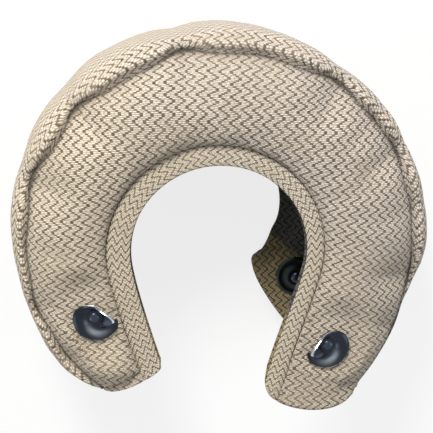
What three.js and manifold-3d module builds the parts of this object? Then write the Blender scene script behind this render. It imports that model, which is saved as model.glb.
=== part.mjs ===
// A padded heat blanket for a turbine housing, lying on its rear panel.
// The blanket is a C in plan: two padded panels, front and rear, joined by a padded rim.
// Every cross-section is a U that opens towards the bore. Each of its three walls is a
// woven cover, a wool core and an inner liner. The free edges are flat sewn hems.
// The open ends of the C are laced together over four steel hooks.
// Units are millimetres, +Z is up, and the bore axis is vertical.

import * as THREE from 'three';
import { mergeVertices } from 'three/addons/utils/BufferGeometryUtils.js';
import Module from 'manifold-3d';

const wasm = await Module();
wasm.setup();

// Plan sizes. Bearings are degrees from +Y, clockwise seen from above.
const BORE_RADIUS = 52;          // hem edge of the front panel round the bore
const SEAM_RADIUS = 113;         // outer seam of the front panel
const SEAM_SHIFT = [2.2, 1.5];   // centre of the outer seam from the bore axis
const REAR_BORE_RADIUS = 52;
const REAR_SEAM_RADIUS = 109;
const REAR_LEAN = [-6, 9];       // centre of the rear hem edge from the bore axis
const REAR_SEAM_LEAN = [-4, 3];  // centre of the rear seam from that of the front one
const ARC_END = 96;              // bearing at which the round part turns into a leg
const LEG_END = 140;             // bearing value given to the end seam of a leg

// Ends of the legs: hem edge corner and outer seam corner, with the headings of both edges.
const FRONT_ENDS = {
  left: { inner: [-36, -67], innerHeading: 163, outer: [-69.5, -85.5], outerHeading: 128 },
  right: { inner: [31.5, -72], innerHeading: 196, outer: [85, -89], outerHeading: 224 },
};
const REAR_ENDS = {
  left: { inner: [-46, -52], innerHeading: 168, outer: [-78, -74], outerHeading: 135 },
  right: { inner: [32.5, -20], innerHeading: 213, outer: [70, -84], outerHeading: 232 },
};
const TAB = { left: 7, right: 24 };      // flat sewn end flap beyond the end seam
const TAB_REAR = { left: 7, right: 13 };
const TAB_SQUARE = 0.4;                  // lower is squarer
const TAB_CORNER = 0.15;                 // share of the flap left at its corners
const TAB_SKEW = 0.75;                   // below 1 the flap is deepest towards the bore

// Heights of the two hem planes, which set the depth of the blanket.
const HEM_GAP = 0.4;             // between cover and liner in a hem
const REAR_HEM = 11;
const FRONT_HEM = 79;
const SEAM_DROP = 4;             // the outer seam lies this far below the hem plane

// Cloth, core and hems.
const COVER = 1.6;
const LINER = 1.2;
const CLEAR = 0.4;               // between layers
const SEAM_GAP = 0.4;            // between two covers, or two liners, at their seam
const ALLOWANCE = 4;             // cover turned in at the outer seam
const HEM_WIDTH = 12.5;
const HEM_SKEW = 2;              // the hem is wider on the left than on the right
const HEM_CREASE = 0.6;          // the hem stands this far above its row of stitches
const PANEL_PUFF = 8.6;          // pad above its hem, outside
const PANEL_PUFF_INSIDE = 4.5;
const RIM_PUFF = 11.5;           // rim beyond the outer seam
const RIM_RISE = 9;              // its rounded edges stand up beside the seams
const RIM_PUFF_INSIDE = 4;
const CORNER = 12;               // outer seam to inner seam, through the corner
const END_TAPER = 15;            // bearing over which the padding thins out at an end

// Gathers along the outer seam: bearing, depth from 0 to 1, half width in degrees.
const GATHERS = [
  [-126, 0.3, 5], [-108, 0.6, 6], [-89, 0.2, 5], [-69, 1.0, 7], [-45, 1.0, 6], [-11, 0.95, 6],
  [12, 0.2, 6], [36, 1.0, 7], [50, 0.5, 6], [62, 0.9, 6], [80, 0.3, 5], [101, 0.9, 8], [118, 0.6, 6],
];
const GATHER_DROP = 5;           // seam pulled down at a gather
const GATHER_OUT = 4;            // and outwards
const GATHER_RIM = 5.5;          // rim puff lost at a gather
const GATHER_PANEL = 0.5;        // share of the panel puff lost beside a gather

// Lacing hooks: stamped snail-shaped plates on rivets, with a washer inside the blanket.
// Each is placed by its bearing value and its distance in from the outer seam.
const HOOK_PLACES = [
  { name: 'front_left', bearing: -114.9, inset: 27.9, flip: 1, rear: false },
  { name: 'front_right', bearing: 127.9, inset: 34.7, flip: -1, rear: false },
  { name: 'rear_left', bearing: -114.3, inset: 28.6, flip: 1, rear: true },
  { name: 'rear_right', bearing: 131.2, inset: 40.7, flip: -1, rear: true },
];
const SEAT = 3.4;                // cover surface under a hook, from the hem plane
const SEAT_INSIDE = 3.2;         // liner surface under a washer
const SEAT_FLAT = 16;            // flat round a rivet to this radius
const SEAT_BLEND = 36;           // and blended into the pad by this one
const SEAT_RISE = 4;             // from the stitches up to the seat
const SEAT_MARGIN = 8.9;         // the corner beside the outer seam keeps its height
const SEAT_FALL = 1.2;
const HOOK_SHEET = 1.1;
const HOOK_RING = 5;             // flat ring round the rivet
const HOOK_SMALL = 8;            // outline radii of the snail shape
const HOOK_LARGE = 12.2;
const HOOK_HEEL = 4;
const HOOK_TIP = 4;
const HOOK_LIFT = 5.2;           // tip above the plate
const HOOK_DISH = 1.8;
const HOOK_SLOT_START = -68;
const HOOK_SLOT_TURN = 63;
const HOOK_SLOT_WIDTH = 22;
const RIVET_SHANK = 2.4;
const RIVET_HEAD = 3.4;
const RIVET_DOME = 1.7;
const RIVET_TAIL = 3.9;
const RIVET_TAIL_DOME = 2.2;
const HOLE_CLEAR = 0.4;
const WASHER_RADIUS = 13.2;
const WASHER_SHEET = 1.0;
const WASHER_RISE = 1.6;
const WASHER_FLAT = 3.2;         // flat ring of a washer round its hole
const LIP = 0.4;                 // drop at the edges of turned and stamped pieces
const PRESS_CLEAR = 0.3;         // round what is pressed into the cloth
const PRESS_DEPTH = 20;          // height of the cloth that it clears
const THREAD = 0.9;
const WOOL_END = 1.8;            // core stops short of the turned-in cover
const WOOL_START = 1.4;          // and of the inner seam
const GATHER_CORNER = 2.5;       // corner depth lost at a gather

const STEP = 12;                 // most degrees between two sections, on the round part
const STEP_LEG = 6.4;            // and on a leg

const DEG = Math.PI / 180;
const MIDDLE = (FRONT_HEM + REAR_HEM) / 2;
const FRONT_SEAM = FRONT_HEM - SEAM_DROP;
const REAR_SEAM = REAR_HEM + SEAM_DROP;

const clamp = (v, a, b) => Math.min(b, Math.max(a, v));
const mix = (a, b, t) => a + (b - a) * t;
const mix2 = (p, q, t) => [mix(p[0], q[0], t), mix(p[1], q[1], t)];
const add2 = (p, q) => [p[0] + q[0], p[1] + q[1]];
const sub2 = (p, q) => [p[0] - q[0], p[1] - q[1]];
const scale2 = (p, k) => [p[0] * k, p[1] * k];
const unit2 = (p) => scale2(p, 1 / Math.hypot(p[0], p[1]));
const smooth = (t) => {
  const c = clamp(t, 0, 1);
  return c * c * (3 - 2 * c);
};
const bearing = (b) => [Math.sin(b * DEG), Math.cos(b * DEG)];

// One edge of the C in plan: a round part, then a cubic leg that leaves it smoothly.
function edgePoint(centre, radius, corner, heading, b) {
  if (Math.abs(b) <= ARC_END) return add2(centre, scale2(bearing(b), radius));
  const side = Math.sign(b);
  const start = add2(centre, scale2(bearing(side * ARC_END), radius));
  const span = LEG_END - ARC_END;
  const along = bearing(side * ARC_END + side * 90);
  const p1 = add2(start, scale2(along, (radius * span * DEG) / 3));
  const reach = Math.hypot(...sub2(corner, start)) / 3;
  const p2 = sub2(corner, scale2(bearing(heading), reach));
  const leg = new THREE.CubicBezierCurve(
    new THREE.Vector2(...start),
    new THREE.Vector2(...p1),
    new THREE.Vector2(...p2),
    new THREE.Vector2(...corner),
  );
  const t = clamp((Math.abs(b) - ARC_END) / span, 0, 1);
  return leg.getPoint(t).toArray();
}

// How far a bearing is inside a gather, 0 to 1.
function gatherAt(b) {
  let g = 0;
  for (const [at, depth, width] of GATHERS) g += depth * Math.exp(-(((b - at) / width) ** 2));
  return Math.min(1, g);
}

// Everything that a cross-section needs at one bearing. flap is 0 on the end seam, 1 at the edge.
function station(b, flap = 0) {
  const side = b < 0 ? 'left' : 'right';
  const f = FRONT_ENDS[side];
  const r = REAR_ENDS[side];
  const inner = edgePoint([0, 0], BORE_RADIUS, f.inner, f.innerHeading, b);
  const outer = edgePoint(SEAM_SHIFT, SEAM_RADIUS, f.outer, f.outerHeading, b);
  const rearInner = edgePoint(REAR_LEAN, REAR_BORE_RADIUS, r.inner, r.innerHeading, b);
  const rearCentre = add2(SEAM_SHIFT, REAR_SEAM_LEAN);
  const rearOuter = edgePoint(rearCentre, REAR_SEAM_RADIUS, r.outer, r.outerHeading, b);
  const end = clamp((LEG_END - Math.abs(b)) / END_TAPER, 0, 1);
  const turn = (v) => (side === 'left' ? [-v[1], v[0]] : [v[1], -v[0]]);
  const out = unit2(sub2(outer, inner));
  const rearOut = unit2(sub2(rearOuter, rearInner));
  return {
    b,
    flap,
    side,
    outer,
    rearOuter,
    out,
    rearOut,
    away: turn(out),
    rearAway: turn(rearOut),
    width: Math.hypot(...sub2(outer, inner)),
    rearWidth: Math.hypot(...sub2(rearOuter, rearInner)),
    full: Math.sqrt(1 - (1 - end) ** 2),
    gather: gatherAt(b) * smooth(end),
    hem: HEM_WIDTH - HEM_SKEW * Math.sin(b * DEG),
  };
}

// Section coordinates are [distance outwards from the outer seam line, height].
function place(st, [rho, z]) {
  const t = clamp((FRONT_SEAM - z) / (FRONT_SEAM - REAR_SEAM), 0, 1);
  const base = mix2(st.outer, st.rearOuter, t);
  const out = unit2(mix2(st.out, st.rearOut, t));
  let [x, y] = add2(base, scale2(out, rho));
  if (st.flap > 0) {
    const width = mix(st.width, st.rearWidth, t);
    const u = clamp(1 + rho / width, 0, 1);
    const v = u ** TAB_SKEW;
    const bow = TAB_CORNER + (1 - TAB_CORNER) * (4 * v * (1 - v)) ** TAB_SQUARE;
    const depth = mix(TAB[st.side], TAB_REAR[st.side], t) * bow * st.flap;
    const away = unit2(mix2(st.away, st.rearAway, t));
    x += away[0] * depth;
    y += away[1] * depth;
  }
  return [x, y, z];
}

const HOOKS = HOOK_PLACES.map((h) => {
  const [x, y] = place(station(h.bearing), [-h.inset, h.rear ? REAR_HEM : FRONT_HEM]);
  return { ...h, at: [x, y] };
});

// A panel is flattened under its hooks: each surface goes to a height of its own there.
function seatWeight(x, y, rear) {
  let w = 0;
  for (const h of HOOKS) {
    if (h.rear !== rear) continue;
    const d = Math.hypot(x - h.at[0], y - h.at[1]);
    w = Math.max(w, 1 - smooth((d - SEAT_FLAT) / (SEAT_BLEND - SEAT_FLAT)));
  }
  return w;
}

// Offsets a chain of section points to its right-hand side, with mitred corners.
function offset(chain, d) {
  return chain.map((p, i) => {
    const a = i > 0 ? unit2(sub2(p, chain[i - 1])) : null;
    const c = i < chain.length - 1 ? unit2(sub2(chain[i + 1], p)) : null;
    const na = a ? [a[1], -a[0]] : null;
    const nc = c ? [c[1], -c[0]] : null;
    if (!na) return add2(p, scale2(nc, d));
    if (!nc) return add2(p, scale2(na, d));
    const n = unit2(add2(na, nc));
    return add2(p, scale2(n, d / Math.max(0.5, n[0] * na[0] + n[1] * na[1])));
  });
}

const PUFF_AT = [0.1, 0.3, 0.55, 0.8, 0.95];
const RIM_AT = [0.07, 0.25, 0.5, 0.75, 0.93];
const RIM_LINER_AT = [0.2, 0.5, 0.8];
const MITRE = unit2([-1, -0.9]);
const ACROSS = [MITRE[1], -MITRE[0]];    // from the rim side of the mitre to the panel side
const puffShape = (x, n, m) => (1 - Math.abs(2 * x - 1) ** n) ** m;

// Outer seam and inner seam of the front corner, in section coordinates.
function corners(st) {
  const q = [GATHER_OUT * st.gather * st.full, FRONT_SEAM - GATHER_DROP * st.gather * st.full];
  const depth = CORNER * mix(0.3, 1, st.full) - GATHER_CORNER * st.gather;
  return { q, i: add2(q, scale2(MITRE, depth)), turned: Math.min(ALLOWANCE, depth - 3) };
}

// Outer face of a panel cover, from the hem edge to the seam and the turned-in allowance.
function panelFace(st, width) {
  const { q, turned } = corners(st);
  const top = FRONT_HEM + HEM_GAP / 2 + COVER;
  const seam = add2(q, scale2(ACROSS, SEAM_GAP / 2));
  const chain = [
    [-width, top + HEM_CREASE * 0.6],
    [-width + st.hem * 0.55, top + HEM_CREASE],
    [-width + st.hem, top],
  ];
  for (const x of PUFF_AT) {
    const lost = 1 - GATHER_PANEL * st.gather * smooth((x - 0.3) / 0.6);
    const puff = PANEL_PUFF * st.full * lost * puffShape(x, 2.4, 0.62);
    chain.push([mix(-width + st.hem, seam[0], x), mix(top, seam[1], x ** 3) + puff]);
  }
  chain.push(seam, add2(seam, scale2(MITRE, turned)));
  return chain;
}

// Cavity face of a panel liner, from the hem edge to the inner seam.
function panelLiner(st, width) {
  const { i } = corners(st);
  const under = FRONT_HEM - HEM_GAP / 2 - LINER;
  const end = add2(i, scale2(ACROSS, SEAM_GAP / 2));
  const chain = [
    [-width, under + HEM_CREASE * 0.6],
    [-width + st.hem * 0.55, under + HEM_CREASE],
    [-width + st.hem, under],
  ];
  for (const x of PUFF_AT) {
    const puff = PANEL_PUFF_INSIDE * st.full * puffShape(x, 2.4, 0.7);
    chain.push([mix(-width + st.hem, end[0], x), mix(under, end[1], x ** 3) - puff]);
  }
  chain.push(end);
  return chain;
}

const flipZ = ([r, z]) => [r, 2 * MIDDLE - z];

// Outer face of the rim cover, from one turned-in allowance to the other.
function rimFace(st) {
  const { q, turned } = corners(st);
  const seam = add2(q, scale2(ACROSS, -SEAM_GAP / 2));
  const tip = add2(seam, scale2(MITRE, turned));
  const puff = (RIM_PUFF - GATHER_RIM * st.gather) * mix(0.25, 1, st.full);
  const chain = RIM_AT.map((v) => [
    seam[0] + puff * puffShape(v, 2.2, 0.6),
    mix(seam[1], 2 * MIDDLE - seam[1], v) + RIM_RISE * st.full * Math.sin(2 * Math.PI * v),
  ]);
  return [tip, seam, ...chain, flipZ(seam), flipZ(tip)];
}

function rimLiner(st) {
  const { i } = corners(st);
  const start = add2(i, scale2(ACROSS, -SEAM_GAP / 2));
  const chain = RIM_LINER_AT.map((v) => [
    start[0] + RIM_PUFF_INSIDE * st.full * puffShape(v, 2.2, 0.7),
    mix(start[1], 2 * MIDDLE - start[1], v),
  ]);
  return [start, ...chain, flipZ(start)];
}

// Ends of a core at the mitre: clear of the turned-in cover, and of the other core.
function mitreEnds(st, sign) {
  const { q, i, turned } = corners(st);
  const wide = COVER + SEAM_GAP / 2 + CLEAR;
  const beside = add2(add2(q, scale2(MITRE, turned + WOOL_END)), scale2(ACROSS, sign * wide));
  const inward = add2(i, scale2(MITRE, -LINER - WOOL_START));
  const low = add2(inward, scale2(ACROSS, (sign * SEAM_GAP) / 2));
  return { beside, low };
}

// Heights that a panel's surfaces take under a hook.
const seatLevel = {
  coverOut: FRONT_HEM + SEAT,
  coverIn: FRONT_HEM + SEAT - COVER,
  woolOut: FRONT_HEM + SEAT - COVER - CLEAR,
  woolIn: FRONT_HEM - SEAT_INSIDE + LINER + CLEAR,
  linerOut: FRONT_HEM - SEAT_INSIDE + LINER,
  linerIn: FRONT_HEM - SEAT_INSIDE,
};

function solve(st, chain, rear, level) {
  return chain.map((p) => {
    const pt = rear ? flipZ(p) : p;
    const [x, y, z] = place(st, pt);
    if (level === null) return [x, y, z];
    const width = rear ? st.rearWidth : st.width;
    const pastHem = smooth((p[0] + width - st.hem) / SEAT_RISE);
    const shortOfSeam = smooth((-p[0] - SEAT_MARGIN) / SEAT_FALL);
    const w = pastHem * shortOfSeam * seatWeight(x, y, rear);
    const seat = rear ? 2 * MIDDLE - level : level;
    return [x, y, mix(z, seat, w)];
  });
}

// A closed wall between two families of chains, given per section along the C.
function wall(outerRows, innerRows) {
  const position = [];
  const index = [];
  const push = (p) => position.push(...p) / 3 - 1;
  const a = outerRows.map((row) => row.map(push));
  const b = innerRows.map((row) => row.map(push));
  const quad = (p, q, r, s) => index.push(p, q, r, p, r, s);
  for (let k = 0; k < a.length - 1; k += 1) {
    for (let j = 0; j < a[k].length - 1; j += 1) {
      quad(a[k][j], a[k][j + 1], a[k + 1][j + 1], a[k + 1][j]);
    }
    for (let j = 0; j < b[k].length - 1; j += 1) {
      index.push(b[k][j], b[k + 1][j + 1], b[k][j + 1], b[k][j], b[k + 1][j], b[k + 1][j + 1]);
    }
    const m = a[k].length - 1;
    const n = b[k].length - 1;
    quad(a[k][0], a[k + 1][0], b[k + 1][0], b[k][0]);
    quad(a[k][m], b[k][n], b[k + 1][n], a[k + 1][m]);
  }
  capEnd(a[0], b[0], index, false);
  capEnd(a[a.length - 1], b[b.length - 1], index, true);
  return solid(position, index);
}

// Zips the end of a wall shut, whatever the lengths of its two chains.
function capEnd(a, b, index, flip) {
  const m = a.length - 1;
  const n = b.length - 1;
  let i = 0;
  let j = 0;
  while (i < m || j < n) {
    const stepA = j >= n || (i < m && (i + 1) * n <= (j + 1) * m);
    const tri = stepA ? [a[i], b[j], a[i + 1]] : [a[i], b[j], b[j + 1]];
    if (stepA) i += 1;
    else j += 1;
    index.push(...(flip ? [tri[0], tri[2], tri[1]] : tri));
  }
}

function signedVolume(position, index) {
  let v = 0;
  for (let t = 0; t < index.length; t += 3) {
    const [p, q, r] = [0, 1, 2].map((k) => position.slice(index[t + k] * 3, index[t + k] * 3 + 3));
    v += p[0] * (q[1] * r[2] - q[2] * r[1]) - p[1] * (q[0] * r[2] - q[2] * r[0]);
    v += p[2] * (q[0] * r[1] - q[1] * r[0]);
  }
  return v / 6;
}

// A closed geometry with its faces pointing out.
function solid(position, index) {
  const faces = [...index];
  if (signedVolume(position, index) < 0) {
    for (let t = 0; t < faces.length; t += 3) {
      [faces[t + 1], faces[t + 2]] = [faces[t + 2], faces[t + 1]];
    }
  }
  const g = new THREE.BufferGeometry();
  g.setAttribute('position', new THREE.Float32BufferAttribute(position, 3));
  g.setIndex(faces);
  return mergeVertices(g, 1e-4);
}

// Boolean helpers.
function toManifold(geometry) {
  const g = geometry.clone();
  g.deleteAttribute('normal');
  g.deleteAttribute('uv');
  const merged = mergeVertices(g, 1e-4);
  const vertProperties = new Float32Array(merged.attributes.position.array);
  const triVerts = new Uint32Array(merged.index.array);
  return new wasm.Manifold(new wasm.Mesh({ numProp: 3, vertProperties, triVerts }));
}

function fromManifold(m) {
  const mesh = m.getMesh();
  const g = new THREE.BufferGeometry();
  g.setAttribute('position', new THREE.Float32BufferAttribute(mesh.vertProperties, 3));
  g.setIndex([...mesh.triVerts]);
  return g;
}

// Cuts the rivet holes of a panel and the seat of whatever presses on it.
function pierce(geometry, rear, press) {
  let m = toManifold(geometry);
  for (const h of HOOKS) {
    if (h.rear !== rear) continue;
    const radius = RIVET_SHANK + HOLE_CLEAR;
    const hole = new THREE.CylinderGeometry(radius, radius, 3 * PRESS_DEPTH, 10);
    hole.rotateX(Math.PI / 2);
    hole.translate(h.at[0], h.at[1], rear ? REAR_HEM : FRONT_HEM);
    m = m.subtract(toManifold(hole));
    if (press) {
      const tool = new THREE.CylinderGeometry(press.radius, press.radius, PRESS_DEPTH, 18);
      tool.rotateX(Math.PI / 2);
      const z = press.level + (press.up ? 1 : -1) * (PRESS_DEPTH / 2);
      tool.translate(h.at[0], h.at[1], rear ? 2 * MIDDLE - z : z);
      m = m.subtract(toManifold(tool));
    }
  }
  return fromManifold(m);
}

// Bearings of the sections. Each gather of the round part has one.
function bearings() {
  const gathers = GATHERS.map(([at]) => at).filter((at) => Math.abs(at) < ARC_END - 4);
  const stops = [-LEG_END, -ARC_END, ...gathers, ARC_END, LEG_END];
  const list = [];
  for (let k = 0; k < stops.length - 1; k += 1) {
    const gap = stops[k + 1] - stops[k];
    const leg = k === 0 || k === stops.length - 2;
    const count = Math.ceil(gap / (leg ? STEP_LEG : STEP));
    for (let n = 0; n < count; n += 1) list.push(stops[k] + (gap * n) / count);
  }
  return [...list, LEG_END];
}

const ALL = bearings();
const PADDED = ALL.slice(1, -1).map((b) => station(b));
const SEWN = [
  station(ALL[0], 1),
  station(ALL[0], 0.55),
  ...ALL.map((b) => station(b)),
  station(ALL[ALL.length - 1], 0.55),
  station(ALL[ALL.length - 1], 1),
];

const group = new THREE.Group();
const steel = { color: 0x1c2026, roughness: 0.3, metalness: 0.85 };
const cloth = { color: 0xcdbf9c, roughness: 0.95, metalness: 0 };
const lining = { color: 0x35322e, roughness: 0.95, metalness: 0 };
const wool = { color: 0xe6e0d2, roughness: 1, metalness: 0 };
const yarn = { color: 0xb9ab88, roughness: 0.9, metalness: 0 };

function addPart(name, geometry, look) {
  const plain = geometry.clone();
  plain.deleteAttribute('uv');
  plain.computeVertexNormals();
  const mesh = new THREE.Mesh(plain, new THREE.MeshStandardMaterial(look));
  mesh.name = name;
  group.add(mesh);
  return mesh;
}

// The two padded panels.
for (const rear of [false, true]) {
  const label = rear ? 'rear' : 'front';
  const width = (st) => (rear ? st.rearWidth : st.width);
  const faces = SEWN.map((st) => panelFace(st, width(st)));
  const cover = wall(
    faces.map((c, k) => solve(SEWN[k], c, rear, seatLevel.coverOut)),
    faces.map((c, k) => solve(SEWN[k], offset(c, COVER), rear, seatLevel.coverIn)),
  );
  const plate = { radius: HOOK_LARGE + PRESS_CLEAR, level: seatLevel.coverOut, up: true };
  addPart(`${label}_cover`, pierce(cover, rear, plate), cloth);

  const linings = SEWN.map((st) => panelLiner(st, width(st)));
  const liner = wall(
    linings.map((c, k) => solve(SEWN[k], offset(c, -LINER), rear, seatLevel.linerOut)),
    linings.map((c, k) => solve(SEWN[k], c, rear, seatLevel.linerIn)),
  );
  const washer = { radius: WASHER_RADIUS + PRESS_CLEAR, level: seatLevel.linerIn, up: false };
  addPart(`${label}_liner`, pierce(liner, rear, washer), lining);

  const core = wall(
    PADDED.map((st) => {
      const c = offset(panelFace(st, width(st)), COVER + CLEAR).slice(3, 3 + PUFF_AT.length);
      return solve(st, [...c, mitreEnds(st, 1).beside], rear, seatLevel.woolOut);
    }),
    PADDED.map((st) => {
      const c = offset(panelLiner(st, width(st)), -LINER - CLEAR).slice(3, 3 + PUFF_AT.length);
      return solve(st, [...c, mitreEnds(st, 1).low], rear, seatLevel.woolIn);
    }),
  );
  addPart(`${label}_wool`, pierce(core, rear, null), wool);
}

// The padded rim between them.
addPart('rim_cover', wall(
  SEWN.map((st) => solve(st, rimFace(st), false, null)),
  SEWN.map((st) => solve(st, offset(rimFace(st), COVER), false, null)),
), cloth);
addPart('rim_liner', wall(
  SEWN.map((st) => solve(st, offset(rimLiner(st), -LINER), false, null)),
  SEWN.map((st) => solve(st, rimLiner(st), false, null)),
), lining);
addPart('rim_wool', wall(
  PADDED.map((st) => {
    const c = offset(rimFace(st), COVER + CLEAR).slice(2, 2 + RIM_AT.length);
    const { beside } = mitreEnds(st, -1);
    return solve(st, [beside, ...c, flipZ(beside)], false, null);
  }),
  PADDED.map((st) => {
    const c = offset(rimLiner(st), -LINER - CLEAR).slice(1, 1 + RIM_LINER_AT.length);
    const { low } = mitreEnds(st, -1);
    return solve(st, [low, ...c, flipZ(low)], false, null);
  }),
), wool);

// The hook plate as a sheet in polar steps round its rivet, cut by a spiral slot.
function hookRadius(turn) {
  const back = HOOK_SMALL + (HOOK_LARGE - HOOK_SMALL) * smooth((turn - 105) / 75);
  const heel = HOOK_HEEL * clamp((turn - 200) / 160, 0, 1) ** 2;
  return back + heel + HOOK_TIP * Math.exp(-((turn / 16) ** 2));
}

function hookSheet(turn, f) {
  const radius = HOOK_RING + (hookRadius(turn) - HOOK_RING) * f;
  const slot = HOOK_SLOT_START + HOOK_SLOT_TURN * f;
  const angle = (slot + turn * (1 - (HOOK_SLOT_WIDTH * f) / 360)) * DEG;
  const beak = HOOK_LIFT * f * Math.exp(-((turn / 75) ** 2));
  const dish = HOOK_DISH * Math.sin(Math.PI * f * 0.85) * smooth(turn / 140);
  return [radius * Math.cos(angle), radius * Math.sin(angle), beak + dish];
}

function hookGeometry() {
  const turns = 20;
  const rings = 3;
  const hole = RIVET_SHANK + HOLE_CLEAR;
  const point = (i, j, up) => {
    const turn = (360 * i) / turns;
    if (j === 0) {
      const a = (HOOK_SLOT_START + turn) * DEG;
      return [hole * Math.cos(a), hole * Math.sin(a), up];
    }
    const [x, y, z] = hookSheet(turn, (j - 1) / rings);
    return [x, y, z + up];
  };
  const position = [];
  const index = [];
  const id = (i, j, k) => (i * (rings + 2) + j) * 2 + k;
  for (let i = 0; i <= turns; i += 1) {
    for (let j = 0; j <= rings + 1; j += 1) {
      position.push(...point(i, j, HOOK_SHEET), ...point(i, j, 0));
    }
  }
  const quad = (p, q, r, s) => index.push(p, q, r, p, r, s);
  for (let i = 0; i < turns; i += 1) {
    for (let j = 0; j <= rings; j += 1) {
      quad(id(i, j, 0), id(i, j + 1, 0), id(i + 1, j + 1, 0), id(i + 1, j, 0));
      quad(id(i, j, 1), id(i + 1, j, 1), id(i + 1, j + 1, 1), id(i, j + 1, 1));
    }
    quad(id(i, rings + 1, 0), id(i, rings + 1, 1), id(i + 1, rings + 1, 1), id(i + 1, rings + 1, 0));
    quad(id(i, 0, 0), id(i + 1, 0, 0), id(i + 1, 0, 1), id(i, 0, 1));
  }
  for (let j = 1; j <= rings; j += 1) {
    quad(id(0, j, 0), id(0, j, 1), id(0, j + 1, 1), id(0, j + 1, 0));
    quad(id(turns, j, 0), id(turns, j + 1, 0), id(turns, j + 1, 1), id(turns, j, 1));
  }
  return solid(position, index);
}

function lathe(profile, segments) {
  const points = profile.map(([r, z]) => new THREE.Vector2(r, z));
  return new THREE.LatheGeometry(points, segments).rotateX(Math.PI / 2);
}

// Mirrors a geometry and keeps its faces pointing out.
function mirrored(geometry, sx, sz) {
  const g = geometry.clone();
  g.scale(sx, 1, sz);
  if (sx * sz < 0) {
    const idx = [...g.index.array];
    for (let t = 0; t < idx.length; t += 3) {
      [idx[t + 1], idx[t + 2]] = [idx[t + 2], idx[t + 1]];
    }
    g.setIndex(idx);
  }
  return g;
}

// Levels along a rivet, from the hem plane.
const PLATE = SEAT + CLEAR;
const HEAD = PLATE + HOOK_SHEET + CLEAR;
const WASHER_TOP = -SEAT_INSIDE - CLEAR;
const WASHER_LOW = WASHER_TOP - WASHER_SHEET - WASHER_RISE;
const TAIL = WASHER_LOW - CLEAR;

function rivetGeometry() {
  const profile = [
    [0, TAIL - RIVET_TAIL_DOME],
    [RIVET_TAIL * 0.6, TAIL - RIVET_TAIL_DOME * 0.8],
    [RIVET_TAIL, TAIL - LIP],
    [RIVET_TAIL, TAIL],
    [RIVET_SHANK, TAIL],
    [RIVET_SHANK, HEAD],
    [RIVET_HEAD, HEAD],
    [RIVET_HEAD, HEAD + LIP],
    [RIVET_HEAD * 0.6, HEAD + RIVET_DOME * 0.85],
    [0, HEAD + RIVET_DOME],
  ];
  return lathe(profile, 10);
}

function washerGeometry() {
  const hole = RIVET_SHANK + HOLE_CLEAR;
  const low = WASHER_LOW;
  const profile = [
    [hole, low],
    [hole + WASHER_FLAT, low],
    [WASHER_RADIUS * 0.7, WASHER_TOP - WASHER_SHEET - LIP],
    [WASHER_RADIUS, WASHER_TOP - WASHER_SHEET],
    [WASHER_RADIUS, WASHER_TOP],
    [WASHER_RADIUS * 0.7, WASHER_TOP - LIP],
    [hole + WASHER_FLAT, low + WASHER_SHEET],
    [hole, low + WASHER_SHEET],
    [hole, low],
  ];
  return lathe(profile, 20);
}

for (const h of HOOKS) {
  const z = h.rear ? REAR_HEM : FRONT_HEM;
  const up = h.rear ? -1 : 1;
  const hook = hookGeometry();
  hook.translate(0, 0, PLATE);
  const parts = [
    [`lacing_hook_${h.name}`, hook],
    [`rivet_${h.name}`, toIndexed(rivetGeometry())],
    [`backing_washer_${h.name}`, toIndexed(washerGeometry())],
  ];
  for (const [name, geometry] of parts) {
    const mesh = addPart(name, mirrored(geometry, h.flip, up), steel);
    mesh.position.set(h.at[0], h.at[1], z);
  }
}

function toIndexed(geometry) {
  const g = geometry.clone();
  g.deleteAttribute('normal');
  g.deleteAttribute('uv');
  const merged = mergeVertices(g, 1e-4);
  return solid([...merged.attributes.position.array], [...merged.index.array]);
}

// One run of stitching along each hem, lying in the crease.
for (const rear of [false, true]) {
  const rows = ALL.map((b) => {
    const st = station(b);
    const face = panelFace(st, rear ? st.rearWidth : st.width);
    const half = THREAD / 2;
    const r = face[2][0] - THREAD;
    const low = face[2][1] + CLEAR + HEM_CREASE * 0.3;
    const outerChain = [[r - half, low + half], [r, low + THREAD], [r + half, low + half]];
    const innerChain = [[r - half, low + half], [r, low], [r + half, low + half]];
    return [outerChain, innerChain].map((c) => solve(st, c, rear, null));
  });
  const position = [];
  const index = [];
  rows.forEach(([a, c]) => position.push(...a[0], ...a[1], ...a[2], ...c[1]));
  for (let k = 0; k < rows.length - 1; k += 1) {
    for (let j = 0; j < 4; j += 1) {
      const p = 4 * k + j;
      const q = 4 * k + ((j + 1) % 4);
      index.push(p, q, q + 4, p, q + 4, p + 4);
    }
  }
  const last = 4 * (rows.length - 1);
  index.push(0, 2, 1, 0, 3, 2, last, last + 1, last + 2, last, last + 2, last + 3);
  addPart(`${rear ? 'rear' : 'front'}_hem_stitching`, solid(position, index), yarn);
}

// The origin is the centre of the base.
const box = new THREE.Box3().setFromObject(group);
const centre = box.getCenter(new THREE.Vector3());
for (const mesh of group.children) {
  mesh.position.x -= centre.x;
  mesh.position.y -= centre.y;
  mesh.position.z -= box.min.z;
}

export default group;
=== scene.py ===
# %% [markdown]
# # A padded heat blanket for a turbine housing
# This lesson dresses a CAD model of the blanket. The blanket is a C of padded cloth, U-shaped in
# section: a front panel, a rim and a rear panel, each a heat cloth outside, wool in the middle and
# a lining inside, whose dark colour is painted shade. Its open ends are laced together over
# stamped steel hooks.
# First the CAD model is loaded as a fixed frame.

# %% Load the frame
import bmesh
import bpy
import numpy as np
from math import pi, radians
from mathutils import Matrix, Vector


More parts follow.
